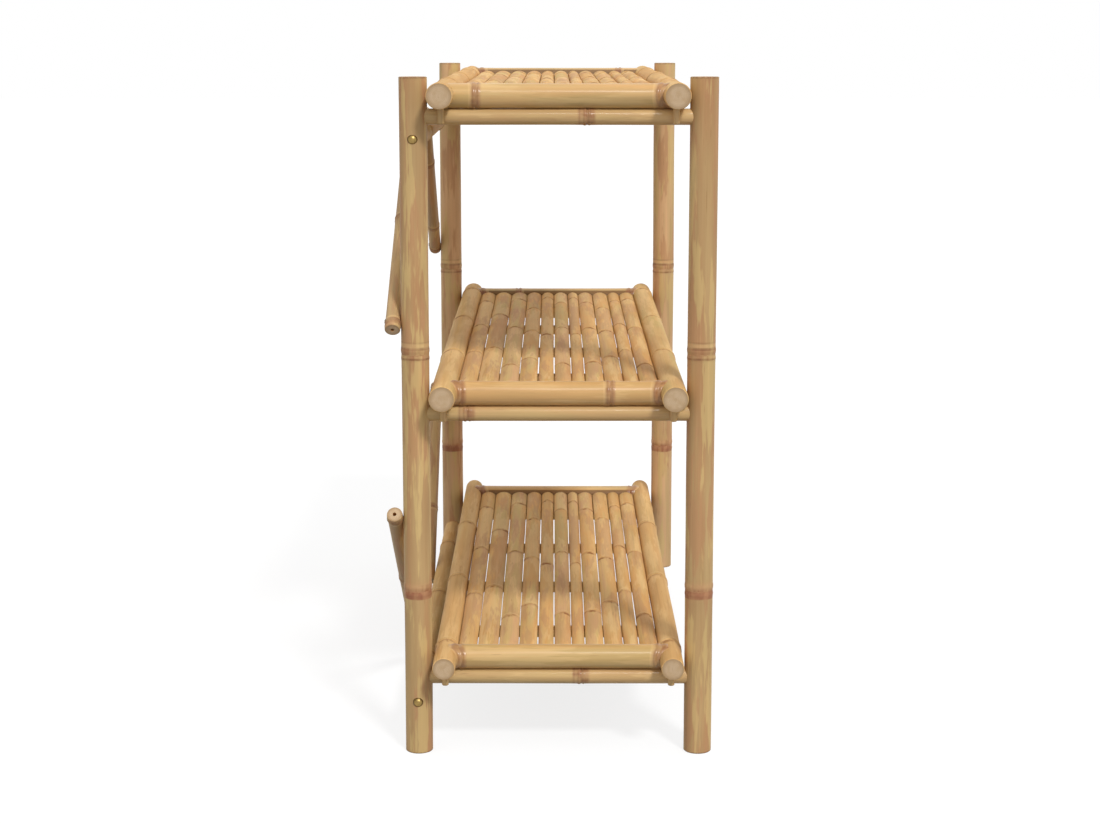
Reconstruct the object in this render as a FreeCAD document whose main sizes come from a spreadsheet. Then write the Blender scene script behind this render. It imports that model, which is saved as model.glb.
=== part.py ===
"""Three-tier bamboo shelving unit: posts, slatted shelves, and a back braced at its four corners.

X runs along the shelves, +Y points to the braced back, +Z is up. Lengths are millimetres.
The origin is on the floor, in the middle of the unit's bounding box.
"""

import FreeCAD
import Part
import Sketcher
import os

# Driving dimensions
SIZES = {
    # heights, stacked from the floor to the top of the posts
    "foot_height": 87.5,
    "shelf_pitch_lower": 302.5,
    "shelf_pitch_upper": 327,
    "post_rise": 43,
    # posts
    "post_diameter": 31,
    "post_spacing_length": 805,
    "post_spacing_depth": 316,
    "post_lower_node": 184,
    "post_upper_node": 452,
    "post_pith_diameter": 8,
    "post_pith_depth": 12,
    # the double ridge at every node of a thick stem, and of a thin one
    "ridge_height": 0.8,
    "ridge_radius": 2.6,
    "ridge_spacing": 9,
    "thin_ridge_height": 0.6,
    "thin_ridge_radius": 2,
    "thin_ridge_spacing": 5,
    # crossbars, from a front post to a back post under each end of a shelf
    "crossbar_diameter": 18,
    "crossbar_insertion": 13,
    "crossbar_node_top": 122,
    "crossbar_node_middle": 52,
    "crossbar_node_bottom": 127,
    # shelf rails, which lie on the crossbars
    "rail_overhang": 47.5,
    "rail_diameter_top": 28.6,
    "rail_diameter_middle": 28.6,
    "rail_diameter_bottom": 25.5,
    "rail_first_node_top": 128,
    "rail_first_node_middle": 210,
    "rail_first_node_bottom": 19,
    "rail_internode_top": 286,
    "rail_internode_middle": 290,
    "rail_internode_bottom": 281,
    # end bars between the rails
    "end_bar_diameter": 27,
    "end_bar_tenon_diameter": 15,
    "end_bar_tenon_length": 9,
    "end_bar_node_inset": 3,
    # battens under the slats
    "batten_width": 20,
    "batten_thickness": 11,
    "batten_tenon_diameter": 8.5,
    "batten_tenon_length": 8,
    # split slats
    "slat_gap": 1.3,
    "slat_side": 4,
    "slat_crown": 4.5,
    # stop pegs under the rail ends
    "peg_diameter": 7.5,
    "peg_drop": 16.5,
    "peg_depth": 12,
    "peg_chamfer": 1,
    # back rails
    "back_rail_diameter": 24,
    "back_rail_drop_upper": 24,
    "back_rail_drop_lower": 27,
    "back_rail_first_node": 140,
    "back_rail_internode": 262,
    # braces behind the posts and the back rails
    "brace_diameter": 17,
    "brace_reach": 271,
    "brace_above_node_upper": 40,
    "brace_above_node_lower": 85,
    "brace_overhang": 13,
    "brace_node_left": 164,
    "brace_low_node_right": 53,
    "brace_high_node_right": 223,
    "brace_pith_diameter": 4.3,
    "brace_pith_depth": 20,
    # dome screws through the back posts
    "post_screw_head_diameter": 10,
    "post_screw_head_height": 3,
    "post_screw_diameter": 5,
    "post_screw_bite": 27,
    "post_screw_point": 6,
    "post_screw_seat": 1.2,
    # round-head screws through the braces
    "brace_screw_head_diameter": 7.5,
    "brace_screw_head_height": 2.2,
    "brace_screw_diameter": 3,
    "brace_screw_bite": 11,
    "brace_screw_point": 4,
    "brace_screw_seat": 1,
    # fits
    "contact_gap": 0.2,
    "bore_clearance": 0.15,
    "screw_clearance": 0.1,
}

TIERS = ("top", "middle", "bottom")
# which way each side lies along X, and each depth along Y
SIDES = {"left": -1, "right": 1}
DEPTHS = {"front": -1, "back": 1}
LEVELS = ("upper", "lower")
# the shelf that each back rail runs below
LEVEL_TIERS = {"upper": "top", "lower": "bottom"}

# slat widths from back to front, as shares of the clear width between the rails
SLAT_SHARES = (19.5, 22, 21, 19.5, 16.5, 18, 14, 19.5, 20, 16, 19)
BATTEN_COUNT = 4
# how near an end bar's mouth comes to a rail's axis, as a share of the rail's radius
COPE_SHARE = 0.5
# where the ring at a brace's foot lies, from the post's axis to the brace's end
FOOT_RING_SHARE = 0.6
# the sizes that place the nodes of each side's braces, from the foot
BRACE_NODES = {"left": ("brace_node_left",), "right": ("brace_low_node_right", "brace_high_node_right")}

# how far a cutting tool runs past the face it opens
TOOL_MARGIN = 1

# rotations that lay the local Z axis along X or Y
ALONG_X = FreeCAD.Rotation(FreeCAD.Vector(0, 1, 0), 90)
AGAINST_X = FreeCAD.Rotation(FreeCAD.Vector(0, 1, 0), -90)
ALONG_Y = FreeCAD.Rotation(FreeCAD.Vector(1, 0, 0), -90)
UPRIGHT = FreeCAD.Rotation()

# Places worked out from the driving dimensions
LAYOUT = {
    "post_x": "Sizes.post_spacing_length / 2",
    "post_r": "Sizes.post_diameter / 2",
    "crossbar_r": "Sizes.crossbar_diameter / 2",
    "end_bar_r": "Sizes.end_bar_diameter / 2",
    "brace_r": "Sizes.brace_diameter / 2",
    "back_rail_r": "Sizes.back_rail_diameter / 2",
    "ridge_room": "Sizes.ridge_height + Sizes.contact_gap",
    "thin_ridge_room": "2 * Sizes.thin_ridge_height + Sizes.contact_gap",
    "crossbar_z_bottom": "Sizes.foot_height",
    "crossbar_z_middle": "crossbar_z_bottom + Sizes.shelf_pitch_lower",
    "crossbar_z_top": "crossbar_z_middle + Sizes.shelf_pitch_upper",
    "post_height": "crossbar_z_top + Sizes.post_rise",
    "rail_length": "Sizes.post_spacing_length + 2 * Sizes.rail_overhang",
    "crossbar_length": "Sizes.post_spacing_depth - Sizes.post_diameter + 2 * Sizes.crossbar_insertion",
    # the crossbars' nodes from their middle: the middle shelf's is measured from the back end
    "crossbar_node_top": "Sizes.crossbar_node_top - crossbar_length / 2",
    "crossbar_node_middle": "crossbar_length / 2 - Sizes.crossbar_node_middle - Sizes.thin_ridge_spacing",
    "crossbar_node_bottom": "Sizes.crossbar_node_bottom - crossbar_length / 2",
    # how far a brace's axis lies behind the axes of the posts and of the back rails
    "brace_y_post": "post_r + Sizes.contact_gap + brace_r",
    "brace_y_rail": "back_rail_r + Sizes.contact_gap + brace_r",
    "brace_step": "brace_y_post - brace_y_rail",
    "brace_head_top": "brace_r - Sizes.brace_screw_seat + Sizes.brace_screw_head_height",
    # the bounding box is centred on the origin
    "back_reach": "max(brace_y_post; brace_y_rail) + brace_head_top",
    "mid_y": "(post_r + Sizes.ridge_height - back_reach) / 2",
    "front_y": "mid_y - Sizes.post_spacing_depth / 2",
    "back_y": "mid_y + Sizes.post_spacing_depth / 2",
    "widest_rail": "max(Sizes.rail_diameter_top; Sizes.rail_diameter_middle; Sizes.rail_diameter_bottom)",
    "rail_offset": "Sizes.post_spacing_depth / 2 - post_r - ridge_room - widest_rail / 2",
    "slat_length": "Sizes.post_spacing_length - Sizes.end_bar_diameter - 2 * ridge_room",
    "batten_step": f"slat_length / {BATTEN_COUNT}",
    "peg_x": "post_x + crossbar_r + Sizes.contact_gap + Sizes.peg_diameter / 2",
    "screw_seat_x": "post_x + post_r - Sizes.post_screw_seat",
    "screw_tip_x": "post_x - post_r - Sizes.post_screw_bite",
}
for _tier in TIERS:
    LAYOUT[f"rail_r_{_tier}"] = f"Sizes.rail_diameter_{_tier} / 2"
    LAYOUT[f"rail_z_{_tier}"] = (
        f"crossbar_z_{_tier} + crossbar_r + Sizes.contact_gap + rail_r_{_tier}"
    )
    LAYOUT[f"end_bar_z_{_tier}"] = (
        f"max(rail_z_{_tier}; crossbar_z_{_tier} + crossbar_r + thin_ridge_room + end_bar_r)"
    )
    LAYOUT[f"clear_{_tier}"] = f"2 * rail_offset - Sizes.rail_diameter_{_tier}"
    LAYOUT[f"slat_field_{_tier}"] = (
        f"clear_{_tier} - 2 * ridge_room - {len(SLAT_SHARES) - 1} * Sizes.slat_gap"
    )
for _level in LEVELS:
    LAYOUT[f"back_rail_z_{_level}"] = (
        f"crossbar_z_{LEVEL_TIERS[_level]} - Sizes.back_rail_drop_{_level}"
    )
    LAYOUT[f"brace_foot_{_level}"] = f"Sizes.post_{_level}_node + Sizes.brace_above_node_{_level}"
    LAYOUT[f"brace_rise_{_level}"] = f"back_rail_z_{_level} - brace_foot_{_level}"
    LAYOUT[f"brace_span_{_level}"] = f"hypot(Sizes.brace_reach; brace_step; brace_rise_{_level})"
    LAYOUT[f"brace_lean_{_level}"] = f"atan2(Sizes.brace_reach; brace_rise_{_level})"
    LAYOUT[f"brace_slant_{_level}"] = f"asin(brace_step / brace_span_{_level})"

doc = FreeCAD.newDocument("bamboo_shelving_unit")
nodes = []


def fill_sheet(name, cells, mark):
    """A sheet with one named cell per entry; mark goes before each value."""
    sheet = doc.addObject("Spreadsheet::Sheet", name)
    for row, (alias, value) in enumerate(cells.items(), start=1):
        sheet.set(f"A{row}", alias)
        sheet.set(f"B{row}", f"{mark}{value}")
        sheet.setAlias(f"B{row}", alias)
    return sheet


def place(item, x="0", y="0", z="0", turn=UPRIGHT):
    """Bind an object's position to the sheets, with a fixed rotation."""
    item.Placement = FreeCAD.Placement(FreeCAD.Vector(), turn)
    for axis, formula in (("x", x), ("y", y), ("z", z)):
        item.setExpression(f"Placement.Base.{axis}", formula)
    return item


def rod(name, diameter, length, x="0", y="0", z="0", turn=UPRIGHT):
    """A cylinder that starts at the given point."""
    item = doc.addObject("Part::Cylinder", name)
    item.setExpression("Radius", f"({diameter}) / 2")
    item.setExpression("Height", length)
    return place(item, x, y, z, turn)


def taper(name, diameter_low, diameter_high, length, z):
    """A cone along local Z that starts at z."""
    item = doc.addObject("Part::Cone", name)
    item.setExpression("Radius1", f"({diameter_low}) / 2")
    item.setExpression("Radius2", f"({diameter_high}) / 2")
    item.setExpression("Height", length)
    return place(item, z=z)


def ridge(name, diameter, z, size):
    """The rounded ring that stands out of a stem at a node."""
    item = doc.addObject("Part::Torus", name)
    item.setExpression("Radius1", f"({diameter}) / 2 + Sizes.{size}_height - Sizes.{size}_radius")
    item.setExpression("Radius2", f"Sizes.{size}_radius")
    return place(item, z=z)


def fuse(name, items):
    """One solid from several."""
    item = doc.addObject("Part::MultiFuse", name)
    item.Shapes = items
    return item


def cut(name, base, tools):
    """The base less all the tools."""
    item = doc.addObject("Part::Cut", name)
    item.Base = base
    item.Tool = tools[0] if len(tools) == 1 else fuse(f"{name}_tools", tools)
    return item


def culm(name, diameter, start, length, ridge_places, size="ridge"):
    """A bamboo stem along local Z, with rings standing out of it."""
    pieces = [rod(f"{name}_stem", diameter, length, z=start)]
    for number, ridge_z in enumerate(ridge_places, start=1):
        pieces.append(ridge(f"{name}_ridge_{number}", diameter, ridge_z, size))
    return fuse(f"{name}_culm", pieces)


def double_ridges(node_places, size="ridge"):
    """Two rings for each node: the scar of the leaf sheath and the ridge above it."""
    places = []
    for node_z in node_places:
        places += [node_z, f"{node_z} + Sizes.{size}_spacing"]
    return places


def spaced_nodes(first, internode, room):
    """Places of a stem's nodes from the left post's axis, as many as fit in the room there is."""
    free = room - SIZES["ridge_spacing"] - SIZES["ridge_radius"] - SIZES[first]
    count = 1 + int(free // SIZES[internode])
    return [f"Sizes.{first} + {number} * Sizes.{internode} - Layout.post_x" for number in range(count)]


def side_bore(name, diameter, depth, radius, way, x="0", z="0"):
    """A blind bore along Y into a stem of the given radius, opening towards way."""
    inner_y = f"{radius} - ({depth})" if way > 0 else f"-({radius}) - {TOOL_MARGIN}"
    return rod(name, diameter, f"({depth}) + {TOOL_MARGIN}", x=x, y=inner_y, z=z, turn=ALONG_Y)


def bored(diameter):
    """The diameter of the bore that takes a pin of this diameter."""
    return f"{diameter} + 2 * Sizes.bore_clearance"


def screw_hole(diameter):
    """The diameter of the hole that takes a screw of this diameter."""
    return f"{diameter} + 2 * Sizes.screw_clearance"


def add_node(item, label):
    """Record a finished sub-part under its own name."""
    item.Label = label
    nodes.append(item)


def origin_plane(body, role):
    """One of a body's own origin planes."""
    return next(feature for feature in body.Origin.OriginFeatures if feature.Role == role)


def new_sketch(body, name, role):
    """A sketch on one of the body's origin planes."""
    sketch = body.newObject("Sketcher::SketchObject", name)
    sketch.AttachmentSupport = (origin_plane(body, role), [""])
    sketch.MapMode = "FlatFace"
    return sketch


def join_ends(sketch, count):
    """Close a chain of edges: each one's end meets the next one's start."""
    for edge in range(count):
        sketch.addConstraint(Sketcher.Constraint("Coincident", edge, 2, (edge + 1) % count, 1))


def size_edge(sketch, kind, where, start_value, name, formula):
    """A dimension of the sketch, bound to the sheets."""
    index = sketch.addConstraint(Sketcher.Constraint(kind, *where, start_value))
    sketch.renameConstraint(index, name)
    sketch.setExpression(f"Constraints.{name}", formula)


def symmetric_pad(body, sketch, length):
    """Extrude a sketch to both sides of its plane."""
    pad = body.newObject("PartDesign::Pad", f"{sketch.Name}_pad")
    pad.Profile = sketch
    pad.SideType = "Symmetric"
    pad.setExpression("Length", length)
    return pad


def crowned_strip(name, width, length, y, z):
    """A split slat along X: flat below, straight sides, round on top."""
    body = doc.addObject("PartDesign::Body", name)
    sketch = new_sketch(body, f"{name}_profile", "YZ_Plane")
    half, side, crown = 10, 4, 5
    radius = (half * half + crown * crown) / (2 * crown)
    centre = FreeCAD.Vector(0, side + crown - radius)
    corners = [
        FreeCAD.Vector(-half, 0),
        FreeCAD.Vector(half, 0),
        FreeCAD.Vector(half, side),
        FreeCAD.Vector(-half, side),
    ]
    arc = Part.Arc(corners[2], centre + FreeCAD.Vector(0, radius), corners[3])
    sketch.addGeometry(Part.LineSegment(corners[0], corners[1]))
    sketch.addGeometry(Part.LineSegment(corners[1], corners[2]))
    sketch.addGeometry(arc)
    sketch.addGeometry(Part.LineSegment(corners[3], corners[0]))
    join_ends(sketch, 4)
    sketch.addConstraint(Sketcher.Constraint("Horizontal", 0))
    sketch.addConstraint(Sketcher.Constraint("Vertical", 1))
    sketch.addConstraint(Sketcher.Constraint("Vertical", 3))
    sketch.addConstraint(Sketcher.Constraint("Equal", 1, 3))
    sketch.addConstraint(Sketcher.Constraint("Symmetric", 0, 1, 0, 2, -1, 1))
    size_edge(sketch, "Distance", (0,), 2 * half, "width", width)
    size_edge(sketch, "Distance", (1,), side, "side", "Sizes.slat_side")
    size_edge(
        sketch, "Radius", (2,), radius, "crown_radius",
        f"(({width}) ^ 2 / 4 + Sizes.slat_crown ^ 2) / (2 * Sizes.slat_crown)",
    )
    symmetric_pad(body, sketch, length)
    return place(body, y=y, z=z)


def half_round_strip(name, tier, x):
    """A batten along Y: flat above, round below, with a round tenon at each end."""
    body = doc.addObject("PartDesign::Body", name)
    sketch = new_sketch(body, f"{name}_profile", "XZ_Plane")
    half, depth, tenon_radius = 10, 11, 4
    radius = (half * half + depth * depth) / (2 * depth)
    left, right = FreeCAD.Vector(-half, 0), FreeCAD.Vector(half, 0)
    sketch.addGeometry(Part.LineSegment(right, left))
    sketch.addGeometry(Part.Arc(left, FreeCAD.Vector(0, -depth), right))
    join_ends(sketch, 2)
    sketch.addConstraint(Sketcher.Constraint("Horizontal", 0))
    sketch.addConstraint(Sketcher.Constraint("Symmetric", 0, 1, 0, 2, -1, 1))
    size_edge(sketch, "Distance", (0,), 2 * half, "width", "Sizes.batten_width")
    size_edge(
        sketch, "Radius", (1,), radius, "round_radius",
        "(Sizes.batten_width ^ 2 / 4 + Sizes.batten_thickness ^ 2) / (2 * Sizes.batten_thickness)",
    )
    symmetric_pad(body, sketch, f"Layout.clear_{tier} - 2 * Layout.ridge_room")
    tenon = new_sketch(body, f"{name}_tenon", "XZ_Plane")
    tenon.addGeometry(Part.Circle(FreeCAD.Vector(0, -depth / 2), FreeCAD.Vector(0, 0, 1), tenon_radius))
    tenon.addConstraint(Sketcher.Constraint("PointOnObject", 0, 3, -2))
    size_edge(tenon, "DistanceY", (0, 3, -1, 1), depth / 2, "drop", "Sizes.batten_thickness / 2")
    size_edge(tenon, "Radius", (0,), tenon_radius, "tenon_radius", "Sizes.batten_tenon_diameter / 2")
    symmetric_pad(body, tenon, f"Layout.clear_{tier} + 2 * Sizes.batten_tenon_length")
    return place(body, x=x, y="Layout.mid_y", z=f"Layout.rail_z_{tier}")


def dome_screw(name, family, length):
    """A wood screw along local Z: point down, the underside of its domed head at z = 0."""
    body = doc.addObject("PartDesign::Body", name)
    sketch = new_sketch(body, f"{name}_profile", "XZ_Plane")
    shank, head, height, reach, point = 2, 4, 2, 30, 4
    radius = (head * head + height * height) / (2 * height)
    tip, shoulder = FreeCAD.Vector(0, -reach), FreeCAD.Vector(shank, point - reach)
    neck, rim, crest = FreeCAD.Vector(shank, 0), FreeCAD.Vector(head, 0), FreeCAD.Vector(0, height)
    centre = FreeCAD.Vector(0, height - radius)
    middle = centre + FreeCAD.Vector(head, 2 * radius - height).normalize() * radius
    sketch.addGeometry(Part.LineSegment(tip, shoulder))
    sketch.addGeometry(Part.LineSegment(shoulder, neck))
    sketch.addGeometry(Part.LineSegment(neck, rim))
    sketch.addGeometry(Part.Arc(rim, middle, crest))
    sketch.addGeometry(Part.LineSegment(crest, tip))
    join_ends(sketch, 5)
    sketch.addConstraint(Sketcher.Constraint("Vertical", 1))
    sketch.addConstraint(Sketcher.Constraint("PointOnObject", 2, 1, -1))
    sketch.addConstraint(Sketcher.Constraint("PointOnObject", 2, 2, -1))
    sketch.addConstraint(Sketcher.Constraint("PointOnObject", 4, 1, -2))
    sketch.addConstraint(Sketcher.Constraint("PointOnObject", 4, 2, -2))
    sketch.addConstraint(Sketcher.Constraint("PointOnObject", 3, 3, -2))
    size_edge(sketch, "DistanceX", (-1, 1, 2, 1), shank, "shank", f"Sizes.{family}_diameter / 2")
    size_edge(sketch, "DistanceX", (-1, 1, 2, 2), head, "head", f"Sizes.{family}_head_diameter / 2")
    size_edge(sketch, "DistanceY", (-1, 1, 4, 1), height, "height", f"Sizes.{family}_head_height")
    size_edge(sketch, "DistanceY", (4, 2, -1, 1), reach, "reach", length)
    size_edge(sketch, "DistanceY", (0, 1, 0, 2), point, "point", f"Sizes.{family}_point")
    turned = body.newObject("PartDesign::Revolution", f"{name}_turned")
    turned.Profile = sketch
    turned.ReferenceAxis = (sketch, ["V_Axis"])
    turned.Angle = 360
    return body


def make_post(depth, side):
    """An upright with bores for three crossbars; a back post also takes screws."""
    name = f"post_{depth}_{side}"
    inwards = -DEPTHS[depth]
    stem = culm(
        name, "Sizes.post_diameter", "0", "Layout.post_height",
        double_ridges(["Sizes.post_lower_node", "Sizes.post_upper_node"]),
    )
    tools = [
        rod(
            f"{name}_pith", "Sizes.post_pith_diameter", f"Sizes.post_pith_depth + {TOOL_MARGIN}",
            z="Layout.post_height - Sizes.post_pith_depth",
        )
    ]
    for tier in TIERS:
        tools.append(
            side_bore(
                f"{name}_bore_{tier}", bored("Sizes.crossbar_diameter"),
                "Sizes.crossbar_insertion + Sizes.bore_clearance", "Layout.post_r", inwards,
                z=f"Layout.crossbar_z_{tier}",
            )
        )
    if depth == "back":
        tools += back_post_holes(name, SIDES[side])
    post = cut(name, stem, tools)
    place(post, x=f"{SIDES[side]} * Layout.post_x", y=f"Layout.{depth}_y")
    add_node(post, name)


def back_post_holes(name, outwards):
    """Holes for the dome screws along X and for the brace screws along Y."""
    holes = []
    for level in LEVELS:
        rail_z = f"Layout.back_rail_z_{level}"
        holes.append(
            rod(
                f"{name}_screw_{level}", screw_hole("Sizes.post_screw_diameter"),
                f"Sizes.post_diameter + {2 * TOOL_MARGIN}",
                x=f"-Layout.post_r - {TOOL_MARGIN}", z=rail_z, turn=ALONG_X,
            )
        )
        holes.append(
            rod(
                f"{name}_seat_{level}", screw_hole("Sizes.post_screw_head_diameter"),
                f"Sizes.post_screw_seat + {TOOL_MARGIN}",
                x=f"{outwards} * (Layout.post_r - Sizes.post_screw_seat)", z=rail_z,
                turn=ALONG_X if outwards > 0 else AGAINST_X,
            )
        )
        holes.append(
            side_bore(
                f"{name}_pilot_{level}", screw_hole("Sizes.brace_screw_diameter"),
                "Sizes.brace_screw_bite + Sizes.screw_clearance", "Layout.post_r", DEPTHS["back"],
                z=f"Layout.brace_foot_{level}",
            )
        )
    return holes


def make_crossbar(side, tier):
    """A thin stem from the front post to the back post, below one end of a shelf."""
    name = f"crossbar_{side}_{tier}"
    bar = culm(
        name, "Sizes.crossbar_diameter", "-Layout.crossbar_length / 2", "Layout.crossbar_length",
        double_ridges([f"Layout.crossbar_node_{tier}"], "thin_ridge"), "thin_ridge",
    )
    place(
        bar, x=f"{SIDES[side]} * Layout.post_x", y="Layout.mid_y",
        z=f"Layout.crossbar_z_{tier}", turn=ALONG_Y,
    )
    add_node(bar, name)


def batten_places():
    """Places of the battens along X, evenly spread under the slats."""
    middle = (BATTEN_COUNT - 1) / 2
    return [f"{number - middle} * Layout.batten_step" for number in range(BATTEN_COUNT)]


def make_rail(tier, depth):
    """A long rail, bored on its inner side for end bars and battens and below for pegs."""
    name = f"{tier}_rail_{depth}"
    inwards = -DEPTHS[depth]
    radius = f"Layout.rail_r_{tier}"
    stem = culm(
        name, f"Sizes.rail_diameter_{tier}", "-Layout.rail_length / 2", "Layout.rail_length",
        double_ridges(
            spaced_nodes(
                f"rail_first_node_{tier}", f"rail_internode_{tier}",
                SIZES["post_spacing_length"] + SIZES["rail_overhang"],
            )
        ),
    )
    tools = []
    for side, sign in SIDES.items():
        tools.append(
            side_bore(
                f"{name}_mortise_{side}", bored("Sizes.end_bar_tenon_diameter"),
                "Sizes.end_bar_tenon_length + Sizes.bore_clearance", radius, inwards,
                x=f"Layout.rail_z_{tier} - Layout.end_bar_z_{tier}", z=f"{sign} * Layout.post_x",
            )
        )
        tools.append(
            rod(
                f"{name}_peg_hole_{side}", bored("Sizes.peg_diameter"),
                f"Sizes.peg_depth + Sizes.bore_clearance + {TOOL_MARGIN}",
                x=f"{radius} - Sizes.peg_depth - Sizes.bore_clearance",
                z=f"{sign} * Layout.peg_x", turn=ALONG_X,
            )
        )
    for number, batten_x in enumerate(batten_places(), start=1):
        tools.append(
            side_bore(
                f"{name}_slot_{number}", bored("Sizes.batten_tenon_diameter"),
                "Sizes.batten_tenon_length + Sizes.bore_clearance", radius, inwards,
                x="Sizes.batten_thickness / 2", z=batten_x,
            )
        )
    rail = cut(name, stem, tools)
    place(
        rail, y=f"Layout.mid_y + {DEPTHS[depth]} * Layout.rail_offset",
        z=f"Layout.rail_z_{tier}", turn=ALONG_X,
    )
    add_node(rail, name)


def make_end_bar(tier, side):
    """A stem between the rails, coped to them, with a tenon at each end."""
    name = f"{tier}_end_bar_{side}"
    half = f"(Layout.clear_{tier} / 2 - Layout.ridge_room)"
    stem_half = f"(Layout.rail_offset - Layout.rail_r_{tier} * {COPE_SHARE})"
    tenon_half = f"(Layout.clear_{tier} / 2 + Sizes.end_bar_tenon_length)"
    stem = culm(
        name, "Sizes.end_bar_diameter", f"-{stem_half}", f"2 * {stem_half}",
        double_ridges(
            [
                f"Sizes.end_bar_node_inset - {half}",
                f"{half} - Sizes.end_bar_node_inset - Sizes.thin_ridge_spacing",
            ],
            "thin_ridge",
        ),
        "thin_ridge",
    )
    cope_length = f"Sizes.end_bar_diameter + {4 * TOOL_MARGIN}"
    copes = [
        rod(
            f"{name}_cope_{depth}", f"Sizes.rail_diameter_{tier} + 2 * Layout.ridge_room", cope_length,
            x=f"-({cope_length}) / 2", y=f"Layout.end_bar_z_{tier} - Layout.rail_z_{tier}",
            z=f"{sign} * Layout.rail_offset", turn=ALONG_X,
        )
        for depth, sign in DEPTHS.items()
    ]
    tenon = rod(f"{name}_tenon", "Sizes.end_bar_tenon_diameter", f"2 * {tenon_half}", z=f"-{tenon_half}")
    bar = fuse(name, [cut(f"{name}_coped", stem, copes), tenon])
    place(
        bar, x=f"{SIDES[side]} * Layout.post_x", y="Layout.mid_y",
        z=f"Layout.end_bar_z_{tier}", turn=ALONG_Y,
    )
    add_node(bar, name)


def make_battens(tier):
    """Four strips that carry the slats of one shelf."""
    for number, batten_x in enumerate(batten_places(), start=1):
        name = f"{tier}_batten_{number}"
        add_node(half_round_strip(name, tier, batten_x), name)


def make_slats(tier):
    """Eleven split slats, laid flat side down on the battens."""
    total = sum(SLAT_SHARES)
    field = f"Layout.slat_field_{tier}"
    slats = []
    before = 0
    for number, share in enumerate(SLAT_SHARES):
        from_back = f"{before + share / 2} / {total} * {field} + {number} * Sizes.slat_gap"
        slats.append(
            crowned_strip(
                f"{tier}_slat_{number + 1}", f"{field} * {share} / {total}", "Layout.slat_length",
                y=f"Layout.mid_y + Layout.clear_{tier} / 2 - Layout.ridge_room - ({from_back})",
                z=f"Layout.rail_z_{tier}",
            )
        )
        before += share
    group(f"{tier}_slats", slats)


def make_pegs(tier):
    """Stop pegs that hang from the rail ends, outside the crossbars."""
    pegs = []
    length = "Sizes.peg_drop + Sizes.peg_depth"
    for depth, back in DEPTHS.items():
        for side, out in SIDES.items():
            name = f"{tier}_peg_{depth}_{side}"
            shaft = rod(
                f"{name}_shaft", "Sizes.peg_diameter", f"{length} - Sizes.peg_chamfer",
                z="Sizes.peg_chamfer",
            )
            tip = taper(
                f"{name}_tip", "Sizes.peg_diameter - 2 * Sizes.peg_chamfer", "Sizes.peg_diameter",
                "Sizes.peg_chamfer", "0",
            )
            peg = fuse(name, [shaft, tip])
            place(
                peg, x=f"{out} * Layout.peg_x", y=f"Layout.mid_y + {back} * Layout.rail_offset",
                z=f"Layout.rail_z_{tier} - Layout.rail_r_{tier} - Sizes.peg_drop",
            )
            pegs.append(peg)
    group(f"{tier}_pegs", pegs)


def make_back_rail(level):
    """A stem between the back posts, coped to them, bored for its screws."""
    name = f"back_rail_{level}"
    stem = culm(
        name, "Sizes.back_rail_diameter", "-Layout.post_x", "2 * Layout.post_x",
        double_ridges(
            spaced_nodes(
                "back_rail_first_node", "back_rail_internode",
                SIZES["post_spacing_length"] - SIZES["post_diameter"],
            )
        ),
    )
    cope_length = f"Sizes.back_rail_diameter + {2 * TOOL_MARGIN}"
    tools = []
    for side, sign in SIDES.items():
        tools.append(
            rod(
                f"{name}_cope_{side}", "Sizes.post_diameter + 2 * Sizes.contact_gap", cope_length,
                x=f"-({cope_length}) / 2", z=f"{sign} * Layout.post_x", turn=ALONG_X,
            )
        )
        tools.append(
            rod(
                f"{name}_screw_bore_{side}", screw_hole("Sizes.post_screw_diameter"),
                "Layout.post_r + Sizes.post_screw_bite + Sizes.screw_clearance",
                z=f"{sign} * Layout.post_x" if sign < 0
                else "Layout.screw_tip_x - Sizes.screw_clearance",
            )
        )
        tools.append(
            side_bore(
                f"{name}_pilot_{side}", screw_hole("Sizes.brace_screw_diameter"),
                "Sizes.brace_screw_bite + Sizes.screw_clearance", "Layout.back_rail_r", DEPTHS["back"],
                z=f"{sign} * (Layout.post_x - Sizes.brace_reach)",
            )
        )
    rail = cut(name, stem, tools)
    place(rail, y="Layout.back_y", z=f"Layout.back_rail_z_{level}", turn=ALONG_X)
    add_node(rail, name)


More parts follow.
